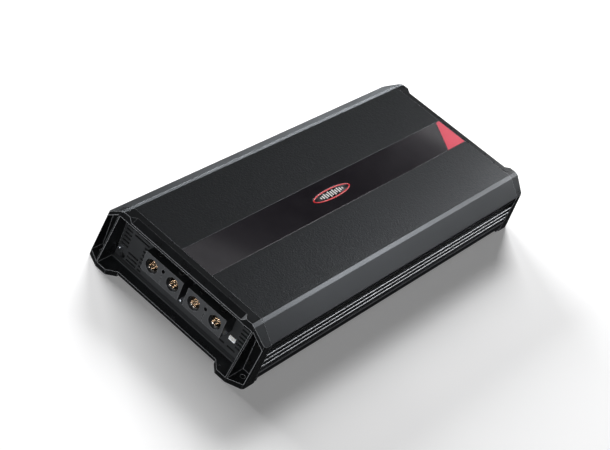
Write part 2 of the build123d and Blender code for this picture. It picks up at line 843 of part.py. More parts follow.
with BuildPart() as main_board:
    with BuildSketch(Plane.XY.offset(board_z)):
        polygon([
            (-board_end_x, -board_half_width),
            (signal_notch_x, -board_half_width),
            (signal_notch_x, signal_notch_y),
            (board_end_x, signal_notch_y),
            (board_end_x, board_half_width - board_corner),
            (signal_notch_x, board_half_width),
            (-fan_notch_x, board_half_width),
            (-fan_notch_x, fan_notch_y),
            (-board_end_x, fan_notch_y),
        ])
        with Locations(*board_fix):
            Circle(tapped_r, mode=Mode.SUBTRACT)
    extrude(amount=board_thickness)
save(main_board, "main_board")

with BuildPart() as signal_board:
    with BuildSketch(Plane.XY.offset(signal_board_z)):
        with Locations((signal_board_x, signal_board_y)):
            Rectangle(signal_board_length, signal_board_width)
        with Locations(*signal_fix):
            Circle(tapped_r, mode=Mode.SUBTRACT)
    extrude(amount=board_thickness)
save(signal_board, "signal_board")

with BuildPart() as board_standoffs:
    for points, top in ((board_fix, board_z), (signal_fix, signal_board_z)):
        with BuildSketch(Plane.XY.offset(inside_floor_z)):
            with Locations(*points):
                RegularPolygon(standoff_r, 6)
                Circle(tapped_r, mode=Mode.SUBTRACT)
        extrude(amount=top - inside_floor_z)
save(board_standoffs, "board_standoffs")

board_screw = pan_screw(2.6, 1.6, 6.5)
with BuildPart() as board_screws:
    for points, seat_z in ((board_fix, board_top_z), (signal_fix, signal_top_z)):
        for point_x, point_y in points:
            place(board_screw, (point_x, point_y, seat_z), (0, 0, -1))
save(board_screws, "board_screws")

# ---------------------------------------------------------------- components on the main board
capacitor_r = 11.0
capacitor_height = 38.0
groove_z = board_top_z + 3.0
groove_height = 1.4
groove_cut = 0.7
capacitor_x = [-190.0, -165.0]
capacitor_y = [-72.0, -48.0, -24.0, 0.0, 24.0, 72.0]
output_capacitor_spots = [(130.0, -24.0), (130.0, 24.0), (156.0, 0.0)]
with BuildPart() as filter_capacitors:
    spots = [(x, y) for x in capacitor_x for y in capacitor_y] + output_capacitor_spots
    with BuildSketch(Plane.XY.offset(board_top_z)):
        with Locations(*spots):
            Circle(capacitor_r)
    extrude(amount=capacitor_height)
    # rolled groove near the base and the rounded shoulder of each can
    with BuildSketch(Plane.XY.offset(groove_z)):
        with Locations(*spots):
            Circle(capacitor_r + 1)
            Circle(capacitor_r - groove_cut, mode=Mode.SUBTRACT)
    extrude(amount=groove_height, mode=Mode.SUBTRACT)
    fillet(filter_capacitors.faces().group_by(Axis.Z)[-1].edges(), 1.0)
save(filter_capacitors, "filter_capacitors")

transformer_x = [-120.0, -60.0, 0.0]
core_width = 44.0
core_height = 36.0
core_depth = 16.0
leg_half = 7.5
window_outer = 16.5
window_height = 22.0
core_middle_z = board_top_z + core_height / 2
with BuildPart() as transformer_cores:
    for core_x in transformer_x:
        with Locations((core_x, 0, core_middle_z)):
            Box(core_depth, core_width, core_height)
        for side in (-1, 1):
            with Locations((core_x, side * (leg_half + window_outer) / 2, core_middle_z)):
                Box(core_depth, window_outer - leg_half, window_height, mode=Mode.SUBTRACT)
save(transformer_cores, "transformer_cores")

winding_clear = 0.3
winding_length = 30.0
winding_corner = 4.0
with BuildPart() as transformer_windings:
    for core_x in transformer_x:
        with BuildSketch(Plane.XY.offset(core_middle_z - window_height / 2 + winding_clear)):
            with Locations((core_x, 0)):
                RectangleRounded(winding_length, 2 * (window_outer - winding_clear), winding_corner)
                Rectangle(core_depth + 2 * winding_clear, 2 * (leg_half + winding_clear), mode=Mode.SUBTRACT)
        extrude(amount=window_height - 2 * winding_clear)
save(transformer_windings, "transformer_windings")

inductor_r = 22.0
inductor_hole_r = 9.0
inductor_height = 20.0
inductor_round = 4.0
inductor_x = 92.0
with BuildPart() as output_inductors:
    for inductor_y in (-38.0, 38.0):
        with BuildSketch(Plane.XY.offset(board_top_z)):
            with Locations((inductor_x, inductor_y)):
                Circle(inductor_r)
                Circle(inductor_hole_r, mode=Mode.SUBTRACT)
        extrude(amount=inductor_height)
    fillet(output_inductors.edges().filter_by(GeomType.CIRCLE), inductor_round)
save(output_inductors, "output_inductors")

# power transistors clamped against both side extrusions
transistor_width = 15.8
transistor_height = 21.0
transistor_thickness = 5.0
transistor_low_z = 22.5
transistor_x = [x + step for x in clamp_screw_x[:-1] for step in (12.0, 32.0)]
lead_spacing = 5.4
lead_width = 1.2
lead_thickness = 0.7


def transistors(side):
    """A row of flat packages standing on their three leads."""
    package_y = side * (sink_inner_y - transistor_thickness / 2)
    lead_height = transistor_low_z - board_top_z
    with BuildPart() as row:
        for package_x in transistor_x:
            with Locations((package_x, package_y, transistor_low_z + transistor_height / 2)):
                Box(transistor_width, transistor_thickness, transistor_height)
            with Locations(*[
                (package_x + shift, side * (board_half_width - lead_width), board_top_z + lead_height / 2)
                for shift in (-lead_spacing, 0.0, lead_spacing)
            ]):
                Box(lead_width, lead_thickness, lead_height)
    return row


clamp_thickness = 2.5
clamp_height = 9.0
clamp_overhang = 6.0


def clamp_bar(side):
    """Steel bar that presses a row of transistors against the side extrusion."""
    bar_y = side * (sink_inner_y - transistor_thickness - clamp_thickness / 2)
    bar_length = clamp_screw_x[-1] - clamp_screw_x[0] + 2 * clamp_overhang
    bar_x = (clamp_screw_x[-1] + clamp_screw_x[0]) / 2
    with BuildPart() as bar:
        with Locations((bar_x, bar_y, clamp_z)):
            Box(bar_length, clamp_thickness, clamp_height)
        front_y = bar_y - side * clamp_thickness
        for hole_x in clamp_screw_x:
            with BuildSketch(facing(hole_x, front_y, clamp_z, (0, side, 0))):
                Circle(tapped_r + gap)
            extrude(amount=2 * clamp_thickness, mode=Mode.SUBTRACT)
    return bar


save(transistors(1), "transistors_left")
save(transistors(-1), "transistors_right")
save(clamp_bar(1), "clamp_bar_left")
save(clamp_bar(-1), "clamp_bar_right")

clamp_screw = pan_screw(2.7, 1.8, 11.0)
with BuildPart() as clamp_screws:
    for side in (-1, 1):
        seat_y = side * (sink_inner_y - transistor_thickness - clamp_thickness)
        for screw_x in clamp_screw_x:
            place(clamp_screw, (screw_x, seat_y, clamp_z), (0, side, 0))
save(clamp_screws, "clamp_screws")

# ---------------------------------------------------------------- controls on the signal board
control_back_x = panel_back_x - 0.4
pot_size = 9.2
pot_depth = 7.0
pot_height = control_z + pot_size / 2 - signal_top_z
knob_length = 9.0
knob_clear = 0.3           # between a knob and its potentiometer
knob_rib_count = 14
knob_rib_r = 0.28
knob_bore_depth = 6.5
pointer_size = 0.8
spindle_r = 1.5
spindle_length = 6.0
with BuildPart() as potentiometers:
    for pot_y in knob_y:
        with Locations((control_back_x - pot_depth / 2, pot_y, signal_top_z + pot_height / 2)):
            Box(pot_depth, pot_size, pot_height)
        with BuildSketch(facing(control_back_x, pot_y, control_z, (1, 0, 0))):
            Circle(spindle_r)
        extrude(amount=spindle_length)
save(potentiometers, "potentiometers")


def knob(centre_y):
    """Small ribbed knob with a pointer groove, turning on its spindle."""
    with BuildPart() as turned:
        back = Plane(
            origin=(control_back_x + knob_clear, centre_y, control_z),
            x_dir=(0, 1, 0),
            z_dir=(1, 0, 0),
        )
        with BuildSketch(back):
            Circle(knob_r)
            with PolarLocations(knob_r, knob_rib_count):
                Circle(knob_rib_r, mode=Mode.SUBTRACT)
        extrude(amount=knob_length)
        with BuildSketch(back):
            Circle(spindle_r + running_gap)
        extrude(amount=knob_bore_depth, mode=Mode.SUBTRACT)
        with BuildSketch(back.offset(knob_length)):
            with Locations((0, knob_r / 2)):
                Rectangle(pointer_size, knob_r)
        extrude(amount=-pointer_size, mode=Mode.SUBTRACT)
    return turned


for name, centre_y in zip(("level_knob", "lowpass_knob", "highpass_knob", "bass_knob"), knob_y):
    save(knob(centre_y), name)

rca_depth = 10.0
rca_reach = 9.0
rca_housing_width = 13.0
rca_housing_rise = 5.5
rca_shell_wall = 0.8
rca_shell_x = seam_x + gap
rca_shell_length = 8.8
rca_contact_r = 1.7
jack_height = control_z + rca_housing_rise - signal_top_z
with BuildPart() as rca_jack_body:
    for jack_y in rca_y:
        with Locations((control_back_x - rca_depth / 2, jack_y, signal_top_z + jack_height / 2)):
            Box(rca_depth, rca_housing_width, jack_height)
        # collar through the panel, then the core inside the metal shell
        with BuildSketch(facing(control_back_x, jack_y, control_z, (1, 0, 0))):
            Circle(rca_collar_r)
        extrude(amount=rca_shell_x - control_back_x)
        with BuildSketch(facing(control_back_x, jack_y, control_z, (1, 0, 0))):
            Circle(rca_shell_r - rca_shell_wall)
        extrude(amount=rca_reach)
        with BuildSketch(facing(control_back_x, jack_y, control_z, (1, 0, 0))):
            Circle(rca_contact_r)
        extrude(amount=rca_reach, mode=Mode.SUBTRACT)
save(rca_jack_body, "rca_jack_body")

with BuildPart() as rca_jack_shells:
    for jack_y in rca_y:
        with BuildSketch(facing(rca_shell_x, jack_y, control_z, (1, 0, 0))):
            Circle(rca_shell_r)
            Circle(rca_shell_r - rca_shell_wall, mode=Mode.SUBTRACT)
        extrude(amount=rca_shell_length)
save(rca_jack_shells, "rca_jack_shells")

slider_width = 2.6
slider_length = 5.8
slider_x = control_back_x + 1.3
slider_clear = 0.2
switch_travel = 3.6
switch_depth = 5.0
switch_body_width = 10.0
switch_body_z = control_z - 0.5
switch_pocket = 2.0
with BuildPart() as phase_switch_body:
    with Locations((control_back_x - switch_depth / 2, switch_y, switch_body_z)):
        Box(switch_depth, switch_body_width, 2 * (switch_body_z - signal_top_z))
    with Locations((control_back_x - switch_pocket / 2, switch_y, control_z)):
        Box(switch_pocket, switch_width, switch_slot_height, mode=Mode.SUBTRACT)
save(phase_switch_body, "phase_switch_body")

with BuildPart() as phase_switch_slider:
    with Locations((slider_x, switch_y - switch_travel / 2, control_z)):
        Box(slider_length, slider_width, switch_slot_height - 2 * slider_clear)
save(phase_switch_slider, "phase_switch_slider")

led_setback = 8.0
led_back_x = panel_back_x - led_setback
led_proud = 0.8
led_post = (2.0, 2.6)      # depth and width
post_height = led_z + 1.0 - signal_top_z
with BuildPart() as status_leds:
    for lamp_y in led_y:
        with BuildSketch(facing(led_back_x, lamp_y, led_z, (1, 0, 0))):
            Circle(led_r)
        extrude(amount=led_setback + panel_thickness + led_proud)
        with Locations((led_back_x - led_post[0] / 2, lamp_y, signal_top_z + post_height / 2)):
            Box(led_post[0], led_post[1], post_height)
save(status_leds, "status_leds")
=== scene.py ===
import json
import math

import bmesh
import bpy
from mathutils import Matrix, Vector


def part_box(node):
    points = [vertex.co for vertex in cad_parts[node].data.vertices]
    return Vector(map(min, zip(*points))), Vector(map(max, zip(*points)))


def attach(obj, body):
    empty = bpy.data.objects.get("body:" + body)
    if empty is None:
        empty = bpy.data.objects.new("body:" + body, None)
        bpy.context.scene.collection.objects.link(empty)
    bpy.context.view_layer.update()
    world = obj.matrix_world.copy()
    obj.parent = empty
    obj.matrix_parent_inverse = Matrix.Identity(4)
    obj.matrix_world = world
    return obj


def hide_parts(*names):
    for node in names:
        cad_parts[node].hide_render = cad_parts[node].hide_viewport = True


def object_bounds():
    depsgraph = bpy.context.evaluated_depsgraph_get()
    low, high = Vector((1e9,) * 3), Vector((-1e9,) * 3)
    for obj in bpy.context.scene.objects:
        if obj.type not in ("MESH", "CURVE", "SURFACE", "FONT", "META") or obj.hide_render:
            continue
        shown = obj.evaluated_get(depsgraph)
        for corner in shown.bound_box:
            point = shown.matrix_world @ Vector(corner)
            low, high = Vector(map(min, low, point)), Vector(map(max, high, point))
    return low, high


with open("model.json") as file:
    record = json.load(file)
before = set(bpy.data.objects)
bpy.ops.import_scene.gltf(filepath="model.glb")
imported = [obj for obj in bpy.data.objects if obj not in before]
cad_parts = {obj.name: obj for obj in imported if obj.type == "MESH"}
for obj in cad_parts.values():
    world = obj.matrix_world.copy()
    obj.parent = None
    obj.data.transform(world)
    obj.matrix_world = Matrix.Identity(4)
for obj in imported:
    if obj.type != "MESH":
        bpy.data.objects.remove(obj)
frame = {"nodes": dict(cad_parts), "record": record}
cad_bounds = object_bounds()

MM = 0.001
record = frame["record"]
slot_of = {part["node"]: part["material_slot"] for part in record["subparts"]}
body_of = {node: body for body, nodes in record["behaviour"]["bodies"].items() for node in nodes}
scene = bpy.context.scene


def polar(azimuth, elevation, distance):
    """A place seen from the origin, azimuth measured from +X towards +Y, in degrees."""
    a = math.radians(azimuth)
    e = math.radians(elevation)
    flat = distance * math.cos(e)
    return Vector((flat * math.cos(a), flat * math.sin(a), distance * math.sin(e)))


# ---------------------------------------------------------------- camera
LENS = 98.05                 # mm
SENSOR_WIDTH = 36.0          # mm
CAMERA_AIM = Vector((-0.0368, 0.0005, 0.0365))
CAMERA_AZIMUTH = 204.43      # degrees, as seen from the aim
CAMERA_ELEVATION = 36.52
CAMERA_DISTANCE = 1.825
CAMERA_ROLL = 24.79          # so that the body runs up to the right


def make_camera():
    """Long lens above the power end."""
    data = bpy.data.cameras.new("camera")
    data.lens = LENS
    data.sensor_width = SENSOR_WIDTH
    data.clip_start = 0.05
    data.clip_end = 50.0
    camera = bpy.data.objects.new("camera", data)
    away = polar(CAMERA_AZIMUTH, CAMERA_ELEVATION, CAMERA_DISTANCE)
    level = (-away).to_track_quat("-Z", "Y").to_matrix().to_4x4()
    roll = Matrix.Rotation(math.radians(CAMERA_ROLL), 4, "Z")
    camera.matrix_world = Matrix.Translation(CAMERA_AIM + away) @ level @ roll
    scene.collection.objects.link(camera)
    scene.camera = camera


make_camera()


# ---------------------------------------------------------------- material helpers
EDGE_SAMPLES = 8
EDGE_TONE_FULL = 0.93    # cosine of the angle between the real and the rounded normal
EDGE_TONE_NONE = 0.995


class Shader:
    """A principled material with object coordinates and short calls for its detail."""

    def __init__(self, name, base, roughness, metallic=0.0):
        self.material = bpy.data.materials.new(name)
        self.material.use_nodes = True
        self.nodes = self.material.node_tree.nodes
        self.links = self.material.node_tree.links
        self.bsdf = self.nodes["Principled BSDF"]
        self.base = base
        self.roughness = roughness
        self.height = None
        self.coords = self.nodes.new("ShaderNodeTexCoord").outputs["Object"]
        self.bsdf.inputs["Base Color"].default_value = (*base, 1.0)
        self.bsdf.inputs["Roughness"].default_value = roughness
        self.bsdf.inputs["Metallic"].default_value = metallic

    def set(self, socket, value):
        """A constant on the shader itself."""
        self.bsdf.inputs[socket].default_value = value
        return self

    def noise(self, size, detail=2.0, stretch=(1.0, 1.0, 1.0)):
        """Noise whose features are about size metres across, longer where stretch is above 1."""
        mapping = self.nodes.new("ShaderNodeMapping")
        mapping.inputs["Scale"].default_value = [1.0 / s for s in stretch]
        self.links.new(self.coords, mapping.inputs["Vector"])
        noise = self.nodes.new("ShaderNodeTexNoise")
        noise.inputs["Scale"].default_value = 1.0 / size
        noise.inputs["Detail"].default_value = detail
        self.links.new(mapping.outputs["Vector"], noise.inputs["Vector"])
        return noise.outputs["Fac"]

    def remap(self, value, low, high, start=0.3, end=0.7):
        """value from start to end becomes low to high."""
        node = self.nodes.new("ShaderNodeMapRange")
        node.inputs["From Min"].default_value = start
        node.inputs["From Max"].default_value = end
        node.inputs["To Min"].default_value = low
        node.inputs["To Max"].default_value = high
        self.links.new(value, node.inputs["Value"])
        return node.outputs["Result"]

    def colour(self):
        """What the base colour socket gets now."""
        links = self.bsdf.inputs["Base Color"].links
        return links[0].from_socket if links else None

    def blend(self, factor, second):
        """Mixes second into the base colour by factor."""
        mix = self.nodes.new("ShaderNodeMix")
        mix.data_type = "RGBA"
        first = self.colour()
        if first is None:
            mix.inputs["A"].default_value = (*self.base, 1.0)
        else:
            self.links.new(first, mix.inputs["A"])
        mix.inputs["B"].default_value = (*second, 1.0)
        self.links.new(factor, mix.inputs["Factor"])
        self.links.new(mix.outputs["Result"], self.bsdf.inputs["Base Color"])
        return self

    def mottle(self, size, amount, stretch=(1.0, 1.0, 1.0)):
        """Slow lightening and darkening of the base colour."""
        light = [min(1.0, c * (1.0 + amount)) for c in self.base]
        dark = [c * (1.0 - amount) for c in self.base]
        noise = self.noise(size, 3.0, stretch)
        self.blend(self.remap(noise, 0.0, 0.8), light)
        return self.blend(self.remap(self.noise(size * 2.7, 2.0, stretch), 0.0, 0.6), dark)

    def vary_roughness(self, size, amount, stretch=(1.0, 1.0, 1.0)):
        """Roughness that drifts about its own value."""
        noise = self.noise(size, 3.0, stretch)
        low = max(0.02, self.roughness - amount)
        high = min(1.0, self.roughness + amount)
        self.links.new(self.remap(noise, low, high), self.bsdf.inputs["Roughness"])
        return self

    def grain(self, size, strength, distance, stretch=(1.0, 1.0, 1.0)):
        """Fine surface texture, laid over any texture already there."""
        bump = self.nodes.new("ShaderNodeBump")
        bump.inputs["Strength"].default_value = strength
        bump.inputs["Distance"].default_value = distance
        self.links.new(self.noise(size, stretch=stretch), bump.inputs["Height"])
        if self.height is not None:
            self.links.new(self.height, bump.inputs["Normal"])
        self.height = bump.outputs["Normal"]
        self.links.new(self.height, self.bsdf.inputs["Normal"])
        return self

    def edge_wear_and_highlight(self, colour, radius):
        """A paler tone along the edges, up to radius metres from them: wear on some parts, a painted
        highlight on others.
        """
        bevel = self.nodes.new("ShaderNodeBevel")
        bevel.samples = EDGE_SAMPLES
        bevel.inputs["Radius"].default_value = radius
        dot = self.nodes.new("ShaderNodeVectorMath")
        dot.operation = "DOT_PRODUCT"
        self.links.new(bevel.outputs["Normal"], dot.inputs[0])
        self.links.new(self.nodes.new("ShaderNodeNewGeometry").outputs["Normal"], dot.inputs[1])
        edge_tone = self.remap(dot.outputs["Value"], 1.0, 0.0, EDGE_TONE_FULL, EDGE_TONE_NONE)
        return self.blend(edge_tone, colour)


def grey(value, tint=(1.0, 1.0, 1.0)):
    """A colour of that brightness, with a slight tint."""
    return tuple(value * t for t in tint)


COOL = (0.97, 1.0, 1.05)
SHEEN = (0.84, 0.91, 1.0, 1.0)   # bluish tone of the light that dark paint and plastic throw back


# ---------------------------------------------------------------- materials, one function for each slot
def cover_paint():
    """Fine powder coat: a pebbled skin over slow tone changes."""
    shader = Shader("cover_paint", grey(0.0105, COOL), 0.42)
    shader.set("Specular Tint", SHEEN)
    shader.mottle(0.0016, 0.6).mottle(0.03, 0.08).vary_roughness(0.0019, 0.09)
    shader.grain(0.0019, 0.9, 0.00028)
    return shader.material


def shoulder_paint():
    """The same paint on the sloping shoulders, where it lies smoother; its base is lighter than the
    top's, painted light on the sloping faces.
    """
    shader = Shader("shoulder_paint", grey(0.014, COOL), 0.30)
    shader.set("Specular Tint", SHEEN)
    shader.mottle(0.05, 0.08).vary_roughness(0.03, 0.02)
    shader.grain(0.0018, 0.04, 0.00003)
    return shader.material


def heatsink_black():
    """Black anodising with faint extrusion lines."""
    shader = Shader("heatsink_black", grey(0.005, COOL), 0.50)
    shader.set("Specular Tint", SHEEN)
    shader.mottle(0.02, 0.2, (20.0, 1.0, 1.0)).vary_roughness(0.004, 0.06, (30.0, 1.0, 1.0))
    shader.grain(0.0005, 0.3, 0.00002, (60.0, 1.0, 1.0))
    return shader.material


def fin_tip_highlight():
    """Bright metal on the tips of the fins, drawn along the length: a painted highlight where the tips
    catch the light.
    """
    shader = Shader("fin_tip_highlight", grey(0.46, COOL), 0.36, 0.9)
    shader.mottle(0.008, 0.12, (30.0, 1.0, 1.0)).vary_roughness(0.003, 0.08, (40.0, 1.0, 1.0))
    shader.grain(0.0003, 0.3, 0.00001, (80.0, 1.0, 1.0))
    return shader.material


def bottom_steel():
    """Sheet steel with a semi-gloss coat."""
    shader = Shader("bottom_steel", grey(0.012), 0.5)
    shader.mottle(0.04, 0.15).vary_roughness(0.02, 0.06).grain(0.0008, 0.3, 0.00004)
    return shader.material


def stripe_gloss():
    """Dark glossy plastic film with a trace of orange peel."""
    shader = Shader("stripe_gloss", (0.0085, 0.0068, 0.0094), 0.16)
    shader.set("Specular Tint", (0.93, 0.89, 1.0, 1.0))
    shader.set("Coat Weight", 0.5).set("Coat Roughness", 0.06)
    shader.mottle(0.05, 0.15).vary_roughness(0.02, 0.03).grain(0.004, 0.03, 0.00003)
    return shader.material


def accent_red():
    """Glossy red with a soft drift in tone."""
    shader = Shader("accent_red", (0.72, 0.060, 0.105), 0.28)
    shader.set("Coat Weight", 0.6).set("Coat Roughness", 0.08)
    shader.mottle(0.09, 0.04).vary_roughness(0.09, 0.01).grain(0.003, 0.02, 0.00001)
    return shader.material


def emblem_enamel():
    """Red enamel under a clear layer."""
    shader = Shader("emblem_enamel", (0.80, 0.020, 0.032), 0.34)
    shader.set("Coat Weight", 0.3).set("Coat Roughness", 0.08)
    shader.mottle(0.006, 0.12).vary_roughness(0.004, 0.04).grain(0.001, 0.08, 0.00001)
    return shader.material


def emblem_white():
    """White enamel of the emblem's bars."""
    shader = Shader("emblem_white", (0.78, 0.77, 0.76), 0.3)
    shader.mottle(0.004, 0.05).vary_roughness(0.003, 0.05).grain(0.0008, 0.1, 0.00001)
    return shader.material


def accent_border():
    """Dark line round the red corner."""
    shader = Shader("accent_border", (0.010, 0.022, 0.026), 0.3)
    shader.mottle(0.01, 0.2).vary_roughness(0.01, 0.05).grain(0.001, 0.08, 0.00001)
    return shader.material


def cap_plastic():
    """Satin moulded plastic with a fine spark-eroded grain and a painted highlight along its edges."""
    shader = Shader("cap_plastic", grey(0.0055, COOL), 0.30)
    shader.set("Specular Tint", SHEEN).set("Specular IOR Level", 0.40)
    shader.mottle(0.03, 0.18).vary_roughness(0.015, 0.06)
    shader.grain(0.0007, 0.3, 0.00003).grain(0.012, 0.05, 0.0001)
    # paler edges: a painted highlight where the rounded edges catch the light
    shader.edge_wear_and_highlight(grey(0.34, COOL), 0.0008)
    return shader.material


def panel_steel():
    """Dark grey paint on sheet steel."""
    shader = Shader("panel_steel", grey(0.030, COOL), 0.48)
    shader.set("Specular Tint", SHEEN)
    shader.mottle(0.02, 0.15).vary_roughness(0.01, 0.06).grain(0.0006, 0.4, 0.00004)
    return shader.material


def housing_plastic():
    """Grey glass-filled plastic with flow marks."""
    shader = Shader("housing_plastic", grey(0.052, COOL), 0.45)
    shader.set("Specular Tint", SHEEN)
    shader.mottle(0.008, 0.14).vary_roughness(0.005, 0.07).grain(0.0006, 0.35, 0.00003)
    # paler edges: a painted highlight along the housing's edges
    shader.edge_wear_and_highlight(grey(0.22, COOL), 0.0005)
    return shader.material


def painted_shade_plastic():
    """Black plastic on the housings' cable mouths and all faces but the grey front: painted shade under
    the cap's roof and in the mouths.
    """
    shader = Shader("painted_shade_plastic", grey(0.006, COOL), 0.36)
    shader.set("Specular Tint", SHEEN)
    shader.mottle(0.004, 0.2).vary_roughness(0.003, 0.05).grain(0.0008, 0.15, 0.00001)
    return shader.material


def terminal_brass():
    """Plated brass, with turning marks and slight tarnish."""
    shader = Shader("terminal_brass", (0.92, 0.85, 0.77), 0.13, 1.0)
    shader.mottle(0.006, 0.08).vary_roughness(0.004, 0.04)
    shader.grain(0.0005, 0.06, 0.00001, (1.0, 8.0, 8.0))
    shader.blend(shader.remap(shader.noise(0.008, 3.0), 0.0, 0.2, 0.55, 0.75), (0.74, 0.60, 0.47))
    return shader.material


def socket_screw_steel():
    """Hardened steel."""
    shader = Shader("socket_screw_steel", grey(0.22), 0.32, 1.0)
    shader.mottle(0.003, 0.15).vary_roughness(0.002, 0.08).grain(0.0003, 0.3, 0.00002)
    return shader.material


def black_screw_steel():
    """Black oxide finish."""
    shader = Shader("black_screw_steel", grey(0.03), 0.38, 0.8)
    shader.mottle(0.003, 0.2).vary_roughness(0.002, 0.08).grain(0.0003, 0.3, 0.00001)
    return shader.material


def bright_screw_steel():
    """Zinc plating."""
    shader = Shader("bright_screw_steel", grey(0.52, COOL), 0.30, 1.0)
    shader.mottle(0.004, 0.10).vary_roughness(0.003, 0.08).grain(0.0004, 0.25, 0.00001)
    return shader.material


def header_white():
    """Natural nylon."""
    shader = Shader("header_white", (0.94, 0.95, 0.96), 0.45)
    shader.set("Subsurface Weight", 0.1)
    shader.mottle(0.003, 0.06).vary_roughness(0.002, 0.06).grain(0.0004, 0.15, 0.00001)
    return shader.material


def pin_gold():
    """Gold flash."""
    shader = Shader("pin_gold", (0.85, 0.62, 0.28), 0.25, 1.0)
    shader.mottle(0.002, 0.10).vary_roughness(0.002, 0.06).grain(0.0003, 0.2, 0.00001)
    return shader.material


def fan_plastic():
    """Glass-filled fan plastic."""
    shader = Shader("fan_plastic", grey(0.014), 0.42)
    shader.mottle(0.006, 0.18).vary_roughness(0.004, 0.07).grain(0.0006, 0.3, 0.00003)
    return shader.material


def board_laminate():
    """Solder mask over a woven laminate, with copper showing faintly through."""
    shader = Shader("board_laminate", (0.012, 0.060, 0.028), 0.34)
    shader.mottle(0.006, 0.25).vary_roughness(0.004, 0.06)
    shader.grain(0.0012, 0.2, 0.00003, (6.0, 1.0, 1.0)).grain(0.0012, 0.2, 0.00003, (1.0, 6.0, 1.0))
    return shader.material


def capacitor_sleeve():
    """Shrink sleeve on an aluminium can."""
    shader = Shader("capacitor_sleeve", (0.014, 0.016, 0.040), 0.30)
    shader.mottle(0.01, 0.15).vary_roughness(0.006, 0.06).grain(0.002, 0.1, 0.00002)
    return shader.material


def core_ferrite():
    """Sintered ferrite."""
    shader = Shader("core_ferrite", grey(0.045), 0.6)
    shader.mottle(0.004, 0.2).vary_roughness(0.003, 0.1).grain(0.0005, 0.5, 0.00005)
    return shader.material


def winding_copper():
    """Enamelled copper wire lying in turns."""
    shader = Shader("winding_copper", (0.46, 0.17, 0.07), 0.30, 0.9)
    shader.mottle(0.004, 0.2).vary_roughness(0.003, 0.08)
    shader.grain(0.0012, 0.7, 0.0002, (8.0, 8.0, 1.0))
    return shader.material


def busbar_copper():
    """Rolled copper plate."""
    shader = Shader("busbar_copper", (0.66, 0.30, 0.18), 0.30, 1.0)
    shader.mottle(0.008, 0.15).vary_roughness(0.005, 0.08).grain(0.0006, 0.25, 0.00002, (1.0, 8.0, 1.0))
    return shader.material


def package_epoxy():
    """Moulded epoxy."""
    shader = Shader("package_epoxy", grey(0.018), 0.5)
    shader.mottle(0.004, 0.15).vary_roughness(0.003, 0.08).grain(0.0005, 0.35, 0.00003)
    return shader.material


def control_plastic():
    """Black plastic of the controls and sockets."""
    shader = Shader("control_plastic", grey(0.018), 0.4)
    shader.mottle(0.004, 0.15).vary_roughness(0.003, 0.06).grain(0.0005, 0.25, 0.00002)
    return shader.material


def connector_nickel():
    """Nickel plating."""
    shader = Shader("connector_nickel", (0.70, 0.67, 0.61), 0.2, 1.0)
    shader.mottle(0.004, 0.08).vary_roughness(0.003, 0.06).grain(0.0004, 0.15, 0.00001)
    return shader.material


def knob_plastic():
    """Black plastic of the knobs, slightly polished by handling."""
    shader = Shader("knob_plastic", grey(0.028), 0.38)
    shader.mottle(0.003, 0.15).vary_roughness(0.002, 0.07).grain(0.0004, 0.25, 0.00002)
    shader.edge_wear_and_highlight(grey(0.08), 0.0002)
    return shader.material


def lamp_lens():
    """Clear plastic with a frosted end."""
    shader = Shader("lamp_lens", (0.62, 0.78, 0.64), 0.25)
    shader.set("Transmission Weight", 0.4).set("IOR", 1.49)
    shader.mottle(0.003, 0.08).vary_roughness(0.002, 0.08).grain(0.0006, 0.2, 0.00001)
    return shader.material


def scale_print():
    """Pale ink of the dial marks."""
    shader = Shader("scale_print", grey(0.55), 0.5)
    shader.mottle(0.002, 0.08).vary_roughness(0.002, 0.06).grain(0.0004, 0.2, 0.00001)
    return shader.material


SLOT_MATERIALS = {
    make.__name__: make()
    for make in (
        cover_paint, heatsink_black, bottom_steel, stripe_gloss, accent_red, emblem_enamel,
        cap_plastic, panel_steel, housing_plastic, terminal_brass, socket_screw_steel,
        black_screw_steel, bright_screw_steel, header_white, pin_gold, fan_plastic,
        board_laminate, capacitor_sleeve, core_ferrite, winding_copper, busbar_copper,
        package_epoxy, control_plastic, connector_nickel, knob_plastic, lamp_lens,
    )
}


# ---------------------------------------------------------------- CAD shapes with real edges
SHARP_ANGLE = 28.0         # degrees, for pieces with round stretches
FLAT_ANGLE = 12.0          # for pieces made of flat faces, some of which meet at a shallow angle
JOIN_DISTANCE = 0.002 * MM  # vertices this near to each other are one
SAME_PLANE = 0.3           # degrees; faces that differ by less are joined


def mesh_of(node):
    """The node's mesh with its vertices joined and its flat faces whole, as a bmesh."""
    source = bmesh.new()
    source.from_mesh(frame["nodes"][node].data)
    bmesh.ops.remove_doubles(source, verts=source.verts, dist=JOIN_DISTANCE)
    bmesh.ops.dissolve_limit(
        source, angle_limit=math.radians(SAME_PLANE), verts=source.verts, edges=source.edges
    )
    return source


def put(name, built, body, materials, replaced=(), angle=SHARP_ANGLE):
    """Links a finished bmesh as a piece that rides on a body; edges above angle stay sharp."""
    mesh = bpy.data.meshes.new(name)
    built.to_mesh(mesh)
    built.free()
    for material in materials:
        mesh.materials.append(material)
    piece = bpy.data.objects.new(name, mesh)
    scene.collection.objects.link(piece)
    mesh.shade_smooth()
    mesh.set_sharp_from_angle(angle=math.radians(angle))
    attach(piece, body)
    if replaced:
        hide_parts(*replaced)
    return piece


def round_edges(piece, width, segments=2, angle=SHARP_ANGLE):
    """Small rounds on the sharp edges, width in mm, and flat faces that stay flat."""
    bevel = piece.modifiers.new("edges", "BEVEL")
    bevel.width = width * MM
    bevel.segments = segments
    bevel.limit_method = "ANGLE"
    bevel.angle_limit = math.radians(angle)
    bevel.use_clamp_overlap = True
    weighted = piece.modifiers.new("normals", "WEIGHTED_NORMAL")
    weighted.weight = 100
    weighted.keep_sharp = True
    return piece


